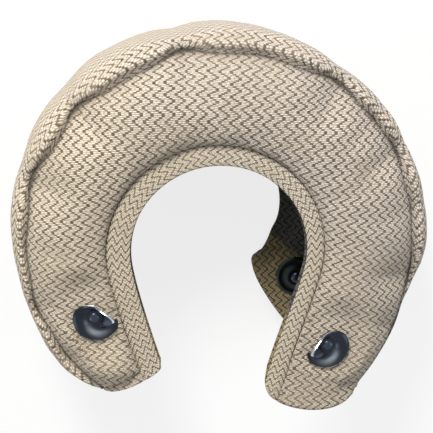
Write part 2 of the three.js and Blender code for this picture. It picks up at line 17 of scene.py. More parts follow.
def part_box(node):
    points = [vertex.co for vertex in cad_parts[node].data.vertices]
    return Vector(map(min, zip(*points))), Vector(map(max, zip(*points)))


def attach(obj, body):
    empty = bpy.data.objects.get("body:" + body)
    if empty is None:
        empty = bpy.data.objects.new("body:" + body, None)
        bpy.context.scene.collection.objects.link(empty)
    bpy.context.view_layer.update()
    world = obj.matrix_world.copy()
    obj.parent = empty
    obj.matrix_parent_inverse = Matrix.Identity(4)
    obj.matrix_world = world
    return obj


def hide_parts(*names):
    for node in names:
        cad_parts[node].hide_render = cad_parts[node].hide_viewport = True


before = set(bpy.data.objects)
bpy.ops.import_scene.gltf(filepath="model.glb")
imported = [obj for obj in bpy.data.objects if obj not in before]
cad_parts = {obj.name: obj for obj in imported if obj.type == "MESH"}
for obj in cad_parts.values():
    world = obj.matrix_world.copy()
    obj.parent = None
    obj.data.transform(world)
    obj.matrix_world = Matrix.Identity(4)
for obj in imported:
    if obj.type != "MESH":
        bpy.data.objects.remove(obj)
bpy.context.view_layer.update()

# %% [markdown]
# ## The camera
# The photograph looks down on the blanket through a long lens, from a little beyond its closed
# side, so the top of the rim shows and the rear parts appear higher in the picture. Everything is
# placed from the bore axis, which is found from a rivet whose distance to that axis is known.

# %% Sizes, in mm
FRONT_HEM, REAR_HEM = 79.0, 11.0        # heights of the hem planes over the plane of the plan
MIDDLE = (FRONT_HEM + REAR_HEM) / 2
SEAT, SEAT_INSIDE = 3.4, 3.2            # pressed cover above the hem plane, lining below it
CLEAR = 0.4                             # between layers
WASHER_TOP = -SEAT_INSIDE - CLEAR       # top of a front washer, from the hem plane
COVER_SHEET, LINING_SHEET = 1.45, 1.1   # thickness of the cloths
HEM_TOP, HEM_UNDER = 1.8, -1.4          # faces of the hem, from the hem plane
RIVET_AT = np.array([65.183, -60.426])  # front right rivet, from the bore axis


def node_centre(node):
    """Centre of a CAD node's box in plan, in mm of the frame."""
    low, high = (np.array(c) * 1000 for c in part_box(node))
    return (low + high)[:2] / 2


# %% The bore axis and the camera
washer_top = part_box("backing_washer_front_right")[1][2] * 1000
shift = np.append(node_centre("rivet_front_right") - RIVET_AT, washer_top - WASHER_TOP - FRONT_HEM)
print("bore axis and height shift in mm", shift)

TILT_BACK, TILT_LEFT = radians(17.0), radians(5.0)
DISTANCE, FOCAL_PX, FRAME_PX, SENSOR = 700.0, 1207.0, 433, 36
target = Vector((-1.35, 20.63, FRONT_HEM)) + Vector(shift)
back = Vector((-np.sin(TILT_LEFT), np.sin(TILT_BACK), np.cos(TILT_BACK))).normalized()
camera_data = bpy.data.cameras.new("Camera")
camera_data.sensor_width = SENSOR
camera_data.lens = SENSOR * FOCAL_PX / FRAME_PX
camera_data.clip_end = 20
camera = bpy.data.objects.new("Camera", camera_data)
bpy.context.collection.objects.link(camera)
camera.location = (target + back * DISTANCE) / 1000
picture_up = (Vector((0, 1, 0)) - back * back.y).normalized()
camera.rotation_euler = Matrix((picture_up.cross(back), picture_up, back)).transposed().to_euler()
bpy.context.scene.camera = camera

# %% [markdown]
# ## Shader arithmetic
# A weave is a formula, so its material is written as arithmetic. The class below wraps a socket.
# Each operator adds a Math node. Every other node comes from one method.

# %% A socket that can be used in arithmetic
class Wire:
    """A number that varies over a surface. a + b, a * b and so on add Math nodes."""

    def __init__(self, finish, socket):
        self.finish, self.socket = finish, socket

    def op(self, operation, *others):
        return self.finish.add("Math", {"operation": operation}, self, *others).out()

    def __add__(self, other):
        return self.op("ADD", other)

    __radd__ = __add__

    def __sub__(self, other):
        return self.op("SUBTRACT", other)

    def __rsub__(self, other):
        return self.finish.add("Math", {"operation": "SUBTRACT"}, other, self).out()

    def __mul__(self, other):
        return self.op("MULTIPLY", other)

    __rmul__ = __mul__

    def __truediv__(self, other):
        return self.op("DIVIDE", other)

    def __abs__(self):
        return self.op("ABSOLUTE")

    def floor(self):
        return self.op("FLOOR")

    def wrap(self, size):
        return self.op("FLOORED_MODULO", size)

    def max(self, other):
        return self.op("MAXIMUM", other)

    def ramp(self, low, high):
        """0 below low, 1 above high, smooth between."""
        settings = {"interpolation_type": "SMOOTHSTEP"}
        return self.finish.add("MapRange", settings, self, low, high, 0.0, 1.0).out()


class Node:
    """A shader node with its outputs as wires."""

    def __init__(self, finish, node):
        self.finish, self.node = finish, node

    def out(self, name=0):
        return Wire(self.finish, self.node.outputs[name])


class Finish:
    """A material, or the world, that is built by adding nodes."""

    def __init__(self, name, world=False):
        self.material = (bpy.data.worlds if world else bpy.data.materials).new(name)
        self.material.use_nodes = True
        self.tree = self.material.node_tree
        self.tree.nodes.clear()
        self.output = self.add("OutputWorld" if world else "OutputMaterial").node

    def add(self, kind, settings=None, *values, **named):
        """Adds one node: its settings first, then the values or links of its sockets."""
        node = self.tree.nodes.new("ShaderNode" + kind)
        for key, value in (settings or {}).items():
            if key == "stops":
                ramp = node.color_ramp
                for k, (place, colour) in enumerate(value):
                    stop = ramp.elements[k] if k < 2 else ramp.elements.new(place)
                    stop.position, stop.color = place, (*colour, 1)
            else:
                setattr(node, key, value)
        sockets = list(zip([s for s in node.inputs if s.enabled], values))
        sockets += [(node.inputs[name.replace("_", " ")], value) for name, value in named.items()]
        for socket, value in sockets:
            self.feed(socket, value)
        return Node(self, node)

    def feed(self, socket, value):
        if isinstance(value, Wire):
            self.tree.links.new(value.socket, socket)
        elif value is not None:
            if socket.type == "RGBA" and len(value) == 3:
                value = (*value, 1)
            socket.default_value = value

    def mix(self, factor, a, b):
        """A colour between a and b. A Mix node holds its colours behind its numbers and vectors."""
        node = self.add("Mix", {"data_type": "RGBA", "clamp_factor": True})
        factor_socket, a_socket, b_socket, result_socket = 0, 6, 7, 2
        for place, value in ((factor_socket, factor), (a_socket, a), (b_socket, b)):
            self.feed(node.node.inputs[place], value)
        return node.out(result_socket)

    def noise(self, coordinates, scale, detail=2.0, roughness=0.5):
        sockets = {"Vector": coordinates, "Scale": scale, "Detail": detail, "Roughness": roughness}
        return self.add("TexNoise", {"noise_dimensions": "3D"}, **sockets).out("Fac")

    def mark(self, name):
        """A named vertex value of the piece, 0 where the piece has none."""
        return self.add("Attribute", {"attribute_name": name}).out("Fac")

    def cloth_map(self):
        return self.add("UVMap", {"uv_map": "cloth"}).out()

    def here(self):
        return self.add("TexCoord").out("Object")

    def bump(self, height, strength, distance):
        node = self.add("Bump", None, Strength=strength, Distance=distance, Height=height)
        return node.out("Normal")

    def show(self, shader):
        """Links a shader to the output."""
        self.feed(self.output.inputs["Surface"], shader.out())

    def surface(self, **sockets):
        self.show(self.add("BsdfPrincipled", None, **sockets))


# %% [markdown]
# ## The heat cloth
# The cloth is a herringbone twill of thick, fuzzy yarns. Each row of weft floats over three warp
# yarns and is bound down by the fourth. From one row to the next the bound place moves by one warp
# yarn, and it turns back after every fourth row. The bound places and the gaps between the rows
# are painted dark brown as the shade in these recesses, and together they draw the zigzag. The
# same formula gives the colour and the relief.

# %% Herringbone heat cloth
WARP, WEFT = 0.001435, 0.000845      # distance between yarns, in metres


def herringbone(finish, uv, warp=WARP, weft=WEFT):
    """Height of the weft floats, about 0 in the gaps and 1 on their backs.

    j counts the weft rows and i the warps. s is a triangle wave over 8 rows, and q is how far a
    point is from the warp that binds its row, which moves by one warp from row to row. The height
    is (1 - 2.8 t^2) times 1 less a deep dip near q = 0 and a half one midway between two bindings,
    with t from -0.5 to 0.5 across the row. i and j are returned too.
    """
    split = finish.add("SeparateXYZ", None, uv)
    i = split.out("X") / warp
    j = split.out("Y") / weft
    s = abs((j.floor() + 0.5).wrap(8.0) - 4.0)
    q = (i - s + 2.0).wrap(4.0) - 2.0
    t = j.wrap(1.0) - 0.5
    bound = 1.0 - abs(q).ramp(0.3, 1.1)
    dimple = abs(q).ramp(1.3, 1.95)
    row = 1.0 - t * t * 2.8
    return row * (1.0 - bound * 0.98 - dimple * 0.5), i, j


CREAM, SKYLIGHT_TINT = (0.90, 0.79, 0.635), (0.95, 0.985, 1.09)   # the second is a multiplier
PAINTED_GAP_SHADE, YARN_SHADE = (0.085, 0.060, 0.036), (0.47, 0.385, 0.275)
HEM_CREAM, PAINTED_CREASE_SHADE = (0.90, 0.80, 0.60), (0.055, 0.045, 0.035)


def heat_cloth():
    """Cream weft floats with painted shade in their gaps and creases, slightly uneven all over.

    The cream is tinted cool with X + 0.8 Y, so towards the right and the closed side: a painted
    tint of the light there.
    """
    finish = Finish("heat_cloth")
    here = finish.here()
    fuzz = finish.noise(here, 2400.0, 3.0, 0.65)
    height, i, j = herringbone(finish, finish.cloth_map())
    along_row = finish.add("CombineXYZ", None, i * 0.45, j.floor() * 0.73, 0.0).out()
    float_tone = finish.noise(along_row, 1.0, 2.0)
    stain = finish.noise(here, 22.0, 4.0, 0.6)
    place = finish.add("SeparateXYZ", None, here)
    side = place.out("X") + place.out("Y") * 0.8
    hem = finish.mark("hem")
    height = height * (1.0 - hem * 0.05) + hem * 0.02
    level = (height + fuzz * 0.75 - 0.34).ramp(-0.02, 0.80)
    # Painted light: a cool tint of the cream towards the right and the closed side.
    skylit_cream = tuple(c * k for c, k in zip(CREAM, SKYLIGHT_TINT))
    # Painted shade: the gaps and bound places of the weave take a dark brown.
    tone = finish.mix(level, PAINTED_GAP_SHADE, finish.mix(side.ramp(-0.06, 0.10), CREAM, skylit_cream))
    tone = finish.mix(float_tone.ramp(0.35, 0.7) * 0.42, tone, YARN_SHADE)
    tone = finish.mix(stain.ramp(0.42, 0.75) * 0.32, tone, YARN_SHADE)
    tone = finish.mix(hem * level * 0.4, tone, HEM_CREAM)
    # Painted shade in the creases, from the crease mark.
    tone = finish.mix(finish.mark("crease") * (fuzz * 0.3 + 0.75), tone, PAINTED_CREASE_SHADE)
    relief = finish.bump(height + fuzz * 0.3, 0.8, 0.0008)
    finish.surface(Base_Color=tone, Roughness=fuzz * 0.15 + 0.8, Normal=relief,
                   Sheen_Weight=0.1, Specular_IOR_Level=0.2)
    return finish.material


cover_cloth = heat_cloth()


# %% Dark lining cloth
# Painted shade: the lining and its facing take the dark tones of cloth in shadow.
SHADED_LINING_YARN, SHADED_LINING_GAP, DUST = (0.17, 0.165, 0.15), (0.03, 0.03, 0.028), (0.17, 0.155, 0.13)
SHADED_FACING_GAP, SHADED_FACING_YARN = (0.08, 0.06, 0.033), (0.42, 0.34, 0.19)
LINING_WARP, LINING_WEFT = 0.0012, 0.0009      # in metres


def lining_cloth():
    """The same weave, painted charcoal as the shade inside the C, with a facing near the ends
    of the C painted as heat cloth in shade.
    """
    finish = Finish("lining_cloth")
    height = herringbone(finish, finish.cloth_map(), LINING_WARP, LINING_WEFT)[0]
    here = finish.here()
    fuzz = finish.noise(here, 2200.0, 3.0, 0.65)
    dust = finish.noise(here, 60.0, 4.0, 0.65)
    # Painted shade: the lining yarn is made charcoal, darkest in the gaps of the weave.
    tone = finish.mix((height + fuzz * 0.4).ramp(0.1, 1.1), SHADED_LINING_GAP, SHADED_LINING_YARN)
    tone = finish.mix(dust.ramp(0.5, 0.8) * 0.35, tone, DUST)
    # Painted shade: the facing is the heat cloth's colours darkened as cloth in shadow.
    facing = finish.mix((height + fuzz * 0.35).ramp(0.12, 0.92), SHADED_FACING_GAP, SHADED_FACING_YARN)
    tone = finish.mix(finish.mark("facing").ramp(0.1, 0.9), tone, facing)
    relief = finish.bump(height + fuzz * 0.3, 0.8, 0.0007)
    finish.surface(Base_Color=tone, Roughness=fuzz * 0.15 + 0.8, Normal=relief,
                   Specular_IOR_Level=0.2)
    return finish.material


lining = lining_cloth()


# %% Wool, thread and steel
def wool_finish():
    finish = Finish("insulation_wool")
    here = finish.here()
    fibre = finish.noise(here, 900.0, 6.0, 0.75)
    clump = finish.noise(here, 60.0, 3.0)
    tone = finish.mix(fibre.ramp(0.3, 0.7), (0.62, 0.59, 0.52), (0.88, 0.86, 0.80))
    tone = finish.mix(clump.ramp(0.4, 0.7) * 0.3, tone, (0.72, 0.66, 0.55))
    finish.surface(Base_Color=tone, Roughness=0.95, Normal=finish.bump(fibre, 0.7, 0.0008))
    return finish.material


def thread_finish():
    finish = Finish("thread")
    here = finish.here()
    twist = finish.noise(here, 3000.0, 2.0)
    tone = finish.mix(twist.ramp(0.35, 0.65), (0.52, 0.46, 0.36), (0.80, 0.73, 0.60))
    finish.surface(Base_Color=tone, Roughness=0.85, Normal=finish.bump(twist, 0.5, 0.0002))
    return finish.material


GLINT_BLUE_GREY = (0.50, 0.56, 0.64)


def black_steel(name, colour, roughness):
    """Smooth blued steel: almost a mirror, with faint streaks and grime.

    A vertex value marks a painted highlight: a pale blue-grey laid on the lip and the skirt.
    """
    finish = Finish(name)
    here = finish.here()
    streak = finish.noise(here, 420.0, 4.0, 0.7)
    grime = finish.noise(here, 90.0, 3.0, 0.6)
    tone = finish.mix(grime.ramp(0.4, 0.75), colour, tuple(c * 0.6 for c in colour))
    # Painted highlight: the marked places are lightened towards a pale blue-grey steel.
    tone = finish.mix(finish.mark("painted_glint") * (streak * 0.5 + 0.6), tone, GLINT_BLUE_GREY)
    rough = streak * 0.10 + grime * 0.12 + (roughness - 0.08)
    finish.surface(Base_Color=tone, Metallic=0.75, Roughness=rough,
                   Normal=finish.bump(streak, 0.12, 0.0002))
    return finish.material


wool = wool_finish()
thread = thread_finish()
hook_steel = black_steel("black_steel", (0.016, 0.021, 0.032), 0.20)
rivet_steel = black_steel("rivet_steel", (0.035, 0.045, 0.065), 0.24)
washer_steel = black_steel("washer_steel", (0.018, 0.023, 0.025), 0.28)

# %% [markdown]
# ## The plan of the blanket
# Both panels and the rim follow the same plan as the CAD model. Each edge is a round part about the
# bore axis, and a leg that leaves it as a smooth cubic. A point on a surface is given by a bearing
# round the bore, a distance out from the outer seam line, and a height.

# %% Plan curves
ARC_END, LEG_END = 96.0, 140.0
SEAM_SHIFT = np.array([2.2, 1.5])
REAR_LEAN = np.array([-6.0, 9.0])
REAR_SEAM_LEAN = np.array([-4.0, 3.0])
SEAM_DROP = 4.0
FRONT_SEAM, REAR_SEAM = FRONT_HEM - SEAM_DROP, REAR_HEM + SEAM_DROP
HEM_WIDTH, HEM_SKEW = 12.5, 2.0         # the hem is wider on the left than on the right
END_TAPER = 15.0                        # bearing over which the padding thins out at an end
TAB_LEFT, TAB_RIGHT, TAB_REAR_RIGHT = 7.0, 24.0, 13.0   # flat sewn flap beyond an end seam
TRIM, TRIM_FROM = 4.5, 112.0            # cut off the rear hem's right corner, from this bearing on
# each edge: centre and radius of its round part, then corner and heading of its left and right leg
EDGES = {
    "front_inner": ((0, 0), 52, ((-36, -67), 163), ((31.5, -72), 196)),
    "front_outer": (SEAM_SHIFT, 113, ((-69.5, -85.5), 128), ((85, -89), 224)),
    "rear_inner": (REAR_LEAN, 52, ((-46, -52), 168), ((32.5, -20), 213)),
    "rear_outer": (SEAM_SHIFT + REAR_SEAM_LEAN, 109, ((-78, -74), 135), ((70, -84), 232)),
}


def smooth(t):
    t = np.clip(t, 0, 1)
    return t * t * (3 - 2 * t)


def towards(bearing):
    """Unit vectors in plan at bearings in degrees, clockwise from +Y."""
    a = np.radians(bearing)
    return np.stack([np.sin(a), np.cos(a)], -1)


def edge_curve(name, b):
    """Points of one edge: a circle up to ARC_END, then a cubic from its tangent to the corner."""
    centre, radius, left, right = EDGES[name]
    side = np.where(b < 0, -1.0, 1.0)
    corner = np.where(side[:, None] < 0, left[0], right[0])
    heading = np.where(side < 0, left[1], right[1])
    span = LEG_END - ARC_END
    start = np.array(centre) + radius * towards(side * ARC_END)
    p1 = start + towards(side * (ARC_END + 90)) * radius * radians(span) / 3
    reach = np.linalg.norm(corner - start, axis=1, keepdims=True) / 3
    p2 = corner - towards(heading) * reach
    t = np.clip((np.abs(b) - ARC_END) / span, 0, 1)[:, None]
    leg = (1 - t) ** 3 * start + 3 * (1 - t) ** 2 * t * p1
    leg = leg + 3 * (1 - t) * t * t * p2 + t ** 3 * corner
    return np.where(t > 0, leg, np.array(centre) + radius * towards(b))


def unit(v):
    return v / np.linalg.norm(v, axis=-1, keepdims=True)


class Plan:
    """The edges, outward directions and end flaps at an array of bearings."""

    def __init__(self, b, flap):
        self.b, self.flap = b, flap
        self.left = b < 0
        self.inner, self.outer = edge_curve("front_inner", b), edge_curve("front_outer", b)
        self.rear_inner, self.rear_outer = edge_curve("rear_inner", b), edge_curve("rear_outer", b)
        self.out = unit(self.outer - self.inner)
        self.rear_out = unit(self.rear_outer - self.rear_inner)
        self.width = np.linalg.norm(self.outer - self.inner, axis=1)
        self.rear_width = np.linalg.norm(self.rear_outer - self.rear_inner, axis=1)
        end = np.clip((LEG_END - np.abs(b)) / END_TAPER, 0, 1)
        self.full = np.sqrt(1 - (1 - end) ** 2)
        self.end = smooth(end)
        self.hem = HEM_WIDTH - HEM_SKEW * np.sin(np.radians(b))
        self.trim = TRIM * smooth((b - TRIM_FROM) / (LEG_END - TRIM_FROM))
        self.away, self.rear_away = self.turned(self.out), self.turned(self.rear_out)
        self.tab = np.where(self.left, TAB_LEFT, TAB_RIGHT)
        self.rear_tab = np.where(self.left, TAB_LEFT, TAB_REAR_RIGHT)

    def turned(self, v):
        """Directions that point out of an end of the C, at right angles to v."""
        side = np.where(self.left, -1.0, 1.0)
        return np.stack([v[:, 1] * side, -v[:, 0] * side], -1)

    def place(self, rho, z):
        """Section coordinates (rho out from the seam line, height z) to points in mm.

        t runs from the front seam (0) to the rear one (1) and blends the two edges. A flap's
        length is its tab times 0.15 + 0.85 (4v (1 - v))^0.4, with v = u^0.75 across it.
        """
        t = np.clip((FRONT_SEAM - z) / (FRONT_SEAM - REAR_SEAM), 0, 1)[..., None]
        base = self.outer[:, None] * (1 - t) + self.rear_outer[:, None] * t
        out = unit(self.out[:, None] * (1 - t) + self.rear_out[:, None] * t)
        width = self.width[:, None] * (1 - t[..., 0]) + self.rear_width[:, None] * t[..., 0]
        u = np.clip(1 + rho / width, 0, 1)
        rho = rho + self.trim[:, None] * (1 - u) ** 5 * t[..., 0]
        v = u ** 0.75
        bow = 0.15 + 0.85 * (4 * v * (1 - v)) ** 0.4
        tab = self.tab[:, None] * (1 - t[..., 0]) + self.rear_tab[:, None] * t[..., 0]
        away = unit(self.away[:, None] * (1 - t) + self.rear_away[:, None] * t)
        xy = base + out * rho[..., None] + away * (tab * bow * self.flap[:, None])[..., None]
        return np.concatenate([xy, z[..., None]], -1)


def stations(step, flap_rows):
    """Bearings from end to end, with rows of flap beyond each end seam."""
    round_part = np.linspace(-LEG_END, LEG_END, int(2 * LEG_END / step) + 1)
    flaps = np.linspace(0, 1, flap_rows + 1)[1:]
    b = np.concatenate([np.full(flap_rows, -LEG_END), round_part, np.full(flap_rows, LEG_END)])
    return Plan(b, np.concatenate([flaps[::-1], np.zeros(len(round_part)), flaps]))


# %% Meshes
def placed(name, mesh):
    obj = bpy.data.objects.new(name, mesh)
    bpy.context.collection.objects.link(obj)
    return obj


def clean_mesh(mesh, weld=True, outward=True):
    """Welds doubled points, and turns the faces of a closed mesh outwards."""
    bm = bmesh.new()
    bm.from_mesh(mesh)
    if weld:
        bmesh.ops.remove_doubles(bm, verts=bm.verts, dist=1e-6)
    if outward:
        bmesh.ops.recalc_face_normals(bm, faces=bm.faces)
    bm.to_mesh(mesh)
    bm.free()


def grid_mesh(name, points, uv=None, flip=False, marks=None, hem_uv=None, hem_cols=0):
    """A sheet from an array of rows x columns x 3 points in mm, with cloth coordinates in metres.

    hem_uv gives the first hem_cols columns their own coordinates. marks are named vertex values.
    """
    rows, cols = points.shape[:2]
    index = np.arange(rows * cols).reshape(rows, cols)
    corners = [index[:-1, :-1], index[:-1, 1:], index[1:, 1:], index[1:, :-1]]
    quads = np.stack(corners, -1).reshape(-1, 4)
    if flip:
        quads = quads[:, ::-1]
    mesh = bpy.data.meshes.new(name)
    mesh.vertices.add(rows * cols)
    metres = (points.reshape(-1, 3) + shift) / 1000
    mesh.vertices.foreach_set("co", metres.ravel().astype(np.float32))
    mesh.loops.add(quads.size)
    mesh.loops.foreach_set("vertex_index", quads.ravel().astype(np.int32))
    mesh.polygons.add(len(quads))
    mesh.polygons.foreach_set("loop_start", np.arange(0, quads.size, 4, dtype=np.int32))
    mesh.update(calc_edges=True)
    mesh.polygons.foreach_set("use_smooth", np.ones(len(quads), dtype=bool))
    if uv is not None:
        corners = uv.reshape(-1, 2)[quads]
        if hem_uv is not None:
            on_hem = (np.arange(len(quads)) % (cols - 1)) < hem_cols
            corners[on_hem] = hem_uv.reshape(-1, 2)[quads[on_hem]]
        layer = mesh.uv_layers.new(name="cloth")
        layer.data.foreach_set("uv", (corners / 1000).ravel().astype(np.float32))
    for label, values in (marks or {}).items():
        layer = mesh.attributes.new(label, "FLOAT", "POINT")
        values = np.broadcast_to(values, (rows, cols)).ravel().astype(np.float32)
        layer.data.foreach_set("value", values)
    return placed(name, mesh)


def thicken(obj, mm):
    """Gives a sheet its thickness, on the side away from its normals."""
    solid = obj.modifiers.new("Thickness", "SOLIDIFY")
    solid.thickness, solid.offset, solid.use_even_offset = mm / 1000, -1.0, False
    return obj


def arc_length(points):
    """Distance along each row of points."""
    step = np.linalg.norm(np.diff(points, axis=1), axis=-1)
    return np.concatenate([np.zeros((len(points), 1)), np.cumsum(step, 1)], 1)


def flat_size(name, points):
    """Prints how long and wide a sheet is: lengths along and across its curved surface."""
    along = arc_length(points.swapaxes(0, 1))[:, -1]
    across = arc_length(points)[:, -1]
    print(name, "flat size in mm: along", along[[0, -1]].round(0), "mean", along.mean().round(0),
          "across mean", across.mean().round(0), "largest", across.max().round(0))


def waves(a, b, seed, count=5, low=0.02, high=0.08):
    """Smooth unevenness over two coordinates in mm: a sum of sines with seeded directions."""
    rng = np.random.default_rng(seed)
    total = np.zeros(np.broadcast(a, b).shape)
    for _ in range(count):
        angle = rng.uniform(0, 2 * pi)
        rate = rng.uniform(low, high)
        phase = rng.uniform(0, 2 * pi)
        total += np.sin((a * np.cos(angle) + b * np.sin(angle)) * rate * 2 * pi + phase)
    return total / count


# %% [markdown]
# ## Gathers and hook seats
# The rim is longer than the seam that it is sewn to, so it is gathered there. At each gather the
# seam is pulled down and out, and a sharp crease runs from it into both pads. Between two gathers
# the padding bulges as a lobe. Under a hook the pad is pressed flat.

# %% Gathers and seats
GATHER_DROP, GATHER_OUT = 5, 4          # the seam is pulled down and out in a gather
SEAM_CREASE = 2.4                       # and lies this much deeper all along
SEAT_FLAT, SEAT_BLEND = 16.0, 38.0      # flat round a rivet, and blended into the pad
SEAT_MARGIN = 8.9                       # the pad beside the seam keeps its height
# bearing, depth and half width of each gather
GATHERS = np.array([
    (-126, 0.3, 5), (-108, 0.6, 6), (-89, 0.2, 5), (-69, 1.0, 7), (-45, 1.0, 6), (-11, 0.95, 6),
    (12, 0.2, 6), (36, 1.0, 7), (50, 0.5, 6), (62, 0.9, 6), (80, 0.3, 5), (101, 0.9, 8),
    (118, 0.6, 6),
])


def rivet_place(where):
    """A rivet's place from the bore axis."""
    return tuple(node_centre("rivet_" + where) - shift[:2])


# place, side (-1 is mirrored) and whether it is on the rear panel
HOOKS = {
    "front_left": (rivet_place("front_left"), 1, False),
    "front_right": (rivet_place("front_right"), -1, False),
    "rear_left": (rivet_place("rear_left"), 1, True),
    "rear_right": (rivet_place("rear_right"), -1, True),
}
print("rivets in plan", {k: np.round(v[0], 2).tolist() for k, v in HOOKS.items()})


def gather(b, sharp=False):
    """How deep in a gather a bearing is: bells, or narrow creases where sharp is set."""
    x = (b[..., None] - GATHERS[:, 0]) / GATHERS[:, 2]
    shape = np.exp(-np.sqrt(x * x + 0.02) * 2.6) if sharp else np.exp(-x ** 2)
    return np.clip((GATHERS[:, 1] * shape).sum(-1), 0, 1)


def press(points, rho, width, hem, rear, level):
    """Moves the surface to its seat height near each hook, past the hem and short of the seam."""
    z = points[..., 2]
    inside = smooth((rho + width - hem) / 4) * smooth((-rho - SEAT_MARGIN) / 3)
    for at, _, is_rear in HOOKS.values():
        if is_rear == rear:
            d = np.hypot(points[..., 0] - at[0], points[..., 1] - at[1])
            w = (1 - smooth((d - SEAT_FLAT) / (SEAT_BLEND - SEAT_FLAT))) * inside
            z = z * (1 - w) + (2 * MIDDLE - level if rear else level) * w
    return np.concatenate([points[..., :2], z[..., None]], -1)


def puff(x, n, m):
    """A bulge over 0 to 1: (1 - |2x - 1|^n)^m."""
    return np.clip(1 - np.abs(2 * x - 1) ** n, 0, 1) ** m


def seam_shade(d, sharp):
    """Darkness beside the outer seam: a narrow bell and a weak long tail, wider in a gather."""
    d = np.clip(d, 0, None)
    bell = 0.95 * np.exp(-((d / (1.1 + 2.6 * sharp)) ** 2))
    return np.clip(bell + 0.3 * np.exp(-d / (2.5 + 3 * sharp)), 0, 1)


def flap_reach(plan, points):
    """How much further a point of an end flap is from its end seam than the bore edge is."""
    rows = int((plan.flap > 0).sum() / 2)
    reach = np.zeros(points.shape[:2])
    left, right = (slice(0, rows), rows, -1), (slice(-rows, None), -rows - 1, 1)
    for part, seam, sign in (left, right):
        d = np.linalg.norm(points[part] - points[seam], axis=-1)
        reach[part] = sign * (d - d[:, :1])
    return reach


# %% Front and rear panel cloth
HEM_COLS = 14
FRONT_PUFF, REAR_PUFF = 9.0, 7.9        # pad above its hem


def panel_cloth(name, plan, rear, across):
    """The outer face of a panel, from its hem edge over the pad into the outer seam.

    Height over the hem plane: 0 on the hem, then H (1 - |2x - 1|^2.4)^0.6 over the pad, less the
    gathers, falling with x^3 to the seam. x runs from the stitches (0) to the seam (1). Two more
    columns turn in at the seam. The cloth map is the plan, stretched by the slope of the pad and
    sheared, and the hem has a map of its own that follows its edge.
    """
    hem, width = plan.hem[:, None], (plan.rear_width if rear else plan.width)[:, None]
    full = plan.full[:, None]
    bell = gather(plan.b)[:, None] * plan.end[:, None]
    sharp = gather(plan.b, True)[:, None] * plan.end[:, None]
    top = FRONT_HEM + HEM_TOP
    seam_rho = GATHER_OUT * bell * full - 0.5
    seam_z = FRONT_SEAM - (GATHER_DROP * bell + SEAM_CREASE) * full
    hem_u = np.linspace(0, 1, HEM_COLS + 1)[None, :-1]
    hem_rho = -width + hem * hem_u
    hem_z = top + 0.6 * np.sin(np.pi * np.clip(hem_u * 0.94 + 0.06, 0, 1))
    hem_z = hem_z - 0.5 * smooth((hem_u - 0.8) / 0.2) + 0 * hem_rho
    x = 1 - (1 - np.linspace(0, 1, across)[None, :]) ** 1.3
    rho = (-width + hem) * (1 - x) + seam_rho * x
    lost = 1 - 0.5 * bell * smooth((x - 0.3) / 0.6)
    z = top * (1 - x ** 3) + seam_z * x ** 3
    z = z + (REAR_PUFF if rear else FRONT_PUFF) * full * lost * puff(x, 2.4, 0.6)
    z = z - 4.2 * sharp * full * smooth((x - 0.4) / 0.5) * puff(x, 2, 0.5)
    s = plan.b[:, None] * 1.5
    ripple = waves(s, rho, 8 if rear else 3, 6, 0.008, 0.028) * 1.2
    ripple = ripple + waves(s, rho, 5, 6, 0.03, 0.07) * 0.55
    z = z + ripple * full * puff(x, 2, 0.5) * (0.5 if rear else 1.0)
    z = z - 0.7 * np.exp(-(x / 0.02) ** 2)
    rho, z = np.concatenate([hem_rho, rho], 1), np.concatenate([hem_z, z], 1)
    tuck_rho, tuck_z = rho[:, -1:] + [[-0.9, -2.0]], z[:, -1:] + [[-1.2, -2.6]]
    rho, z = np.concatenate([rho, tuck_rho], 1), np.concatenate([z, tuck_z], 1)
    from_stitches = rho + width - hem
    # Painted shade: the crease mark darkens the cloth beside the outer seam and in the valley at
    # the hem stitches.
    crease = seam_shade(seam_rho - rho, sharp) * (0.3 + 0.7 * full)
    valley = 0.22 * np.exp(-((from_stitches - 0.6) / 2.2) ** 2)
    marks = {"crease": np.clip(np.maximum(crease, valley), 0, 1),
             "hem": 1 - smooth((from_stitches + 1) / 1.5)}
    if rear:
        z = 2 * MIDDLE - z
    points = press(plan.place(rho, z), rho, width, hem, rear, FRONT_HEM + SEAT)
    out = plan.rear_out if rear else plan.out
    flat = points * [1, 1, 0]
    slope = arc_length(points) - arc_length(flat)
    uv = points[..., :2] + out[:, None] * slope[..., None]
    u, v = uv[..., 0], uv[..., 1]
    v = v + 0.042 * (u + np.hypot(u, 30.0)) * (-1 if rear else 1)
    far = np.clip(v, 0, 90)
    uv = np.stack([u * (1 - 0.0011 * far), v - 0.0017 * far ** 2 / 2], -1)
    wander = np.stack([waves(uv[..., 0], uv[..., 1], k, 4, 0.004, 0.012) for k in (21, 22)], -1)
    uv = uv + wander * 1.4
    along = arc_length(flat[:, :1].swapaxes(0, 1))[0][:, None]
    hem_uv = np.stack([along + flap_reach(plan, points), rho + width], -1) * 1.3
    flat_size(name, points)
    return thicken(grid_mesh(name, points, uv, rear, marks, hem_uv, HEM_COLS), COVER_SHEET)


front_cloth = panel_cloth("front_panel_cloth", stations(0.55, 12), False, 62)
rear_cloth = panel_cloth("rear_panel_cloth", stations(0.8, 8), True, 44)


# %% Rim cloth
RIM_PUFF, RIM_RISE = 12.0, 9            # bulge beyond the seams, and of its rounded edges upwards
WOOL_INSIDE, WOOL_SHEET = 2.0, 2.6      # the wool layer lies this far inside the cloth
WOOL_START = 0.62                       # and starts this far from the seams, in radians of v


def slimmer(b):
    """Share of the rim's bulge: less on the left leg, nearly none on the right one."""
    return 1 - 0.86 * smooth((b - 97) / 16) - 0.38 * np.exp(-(((b + 102) / 26) ** 2))


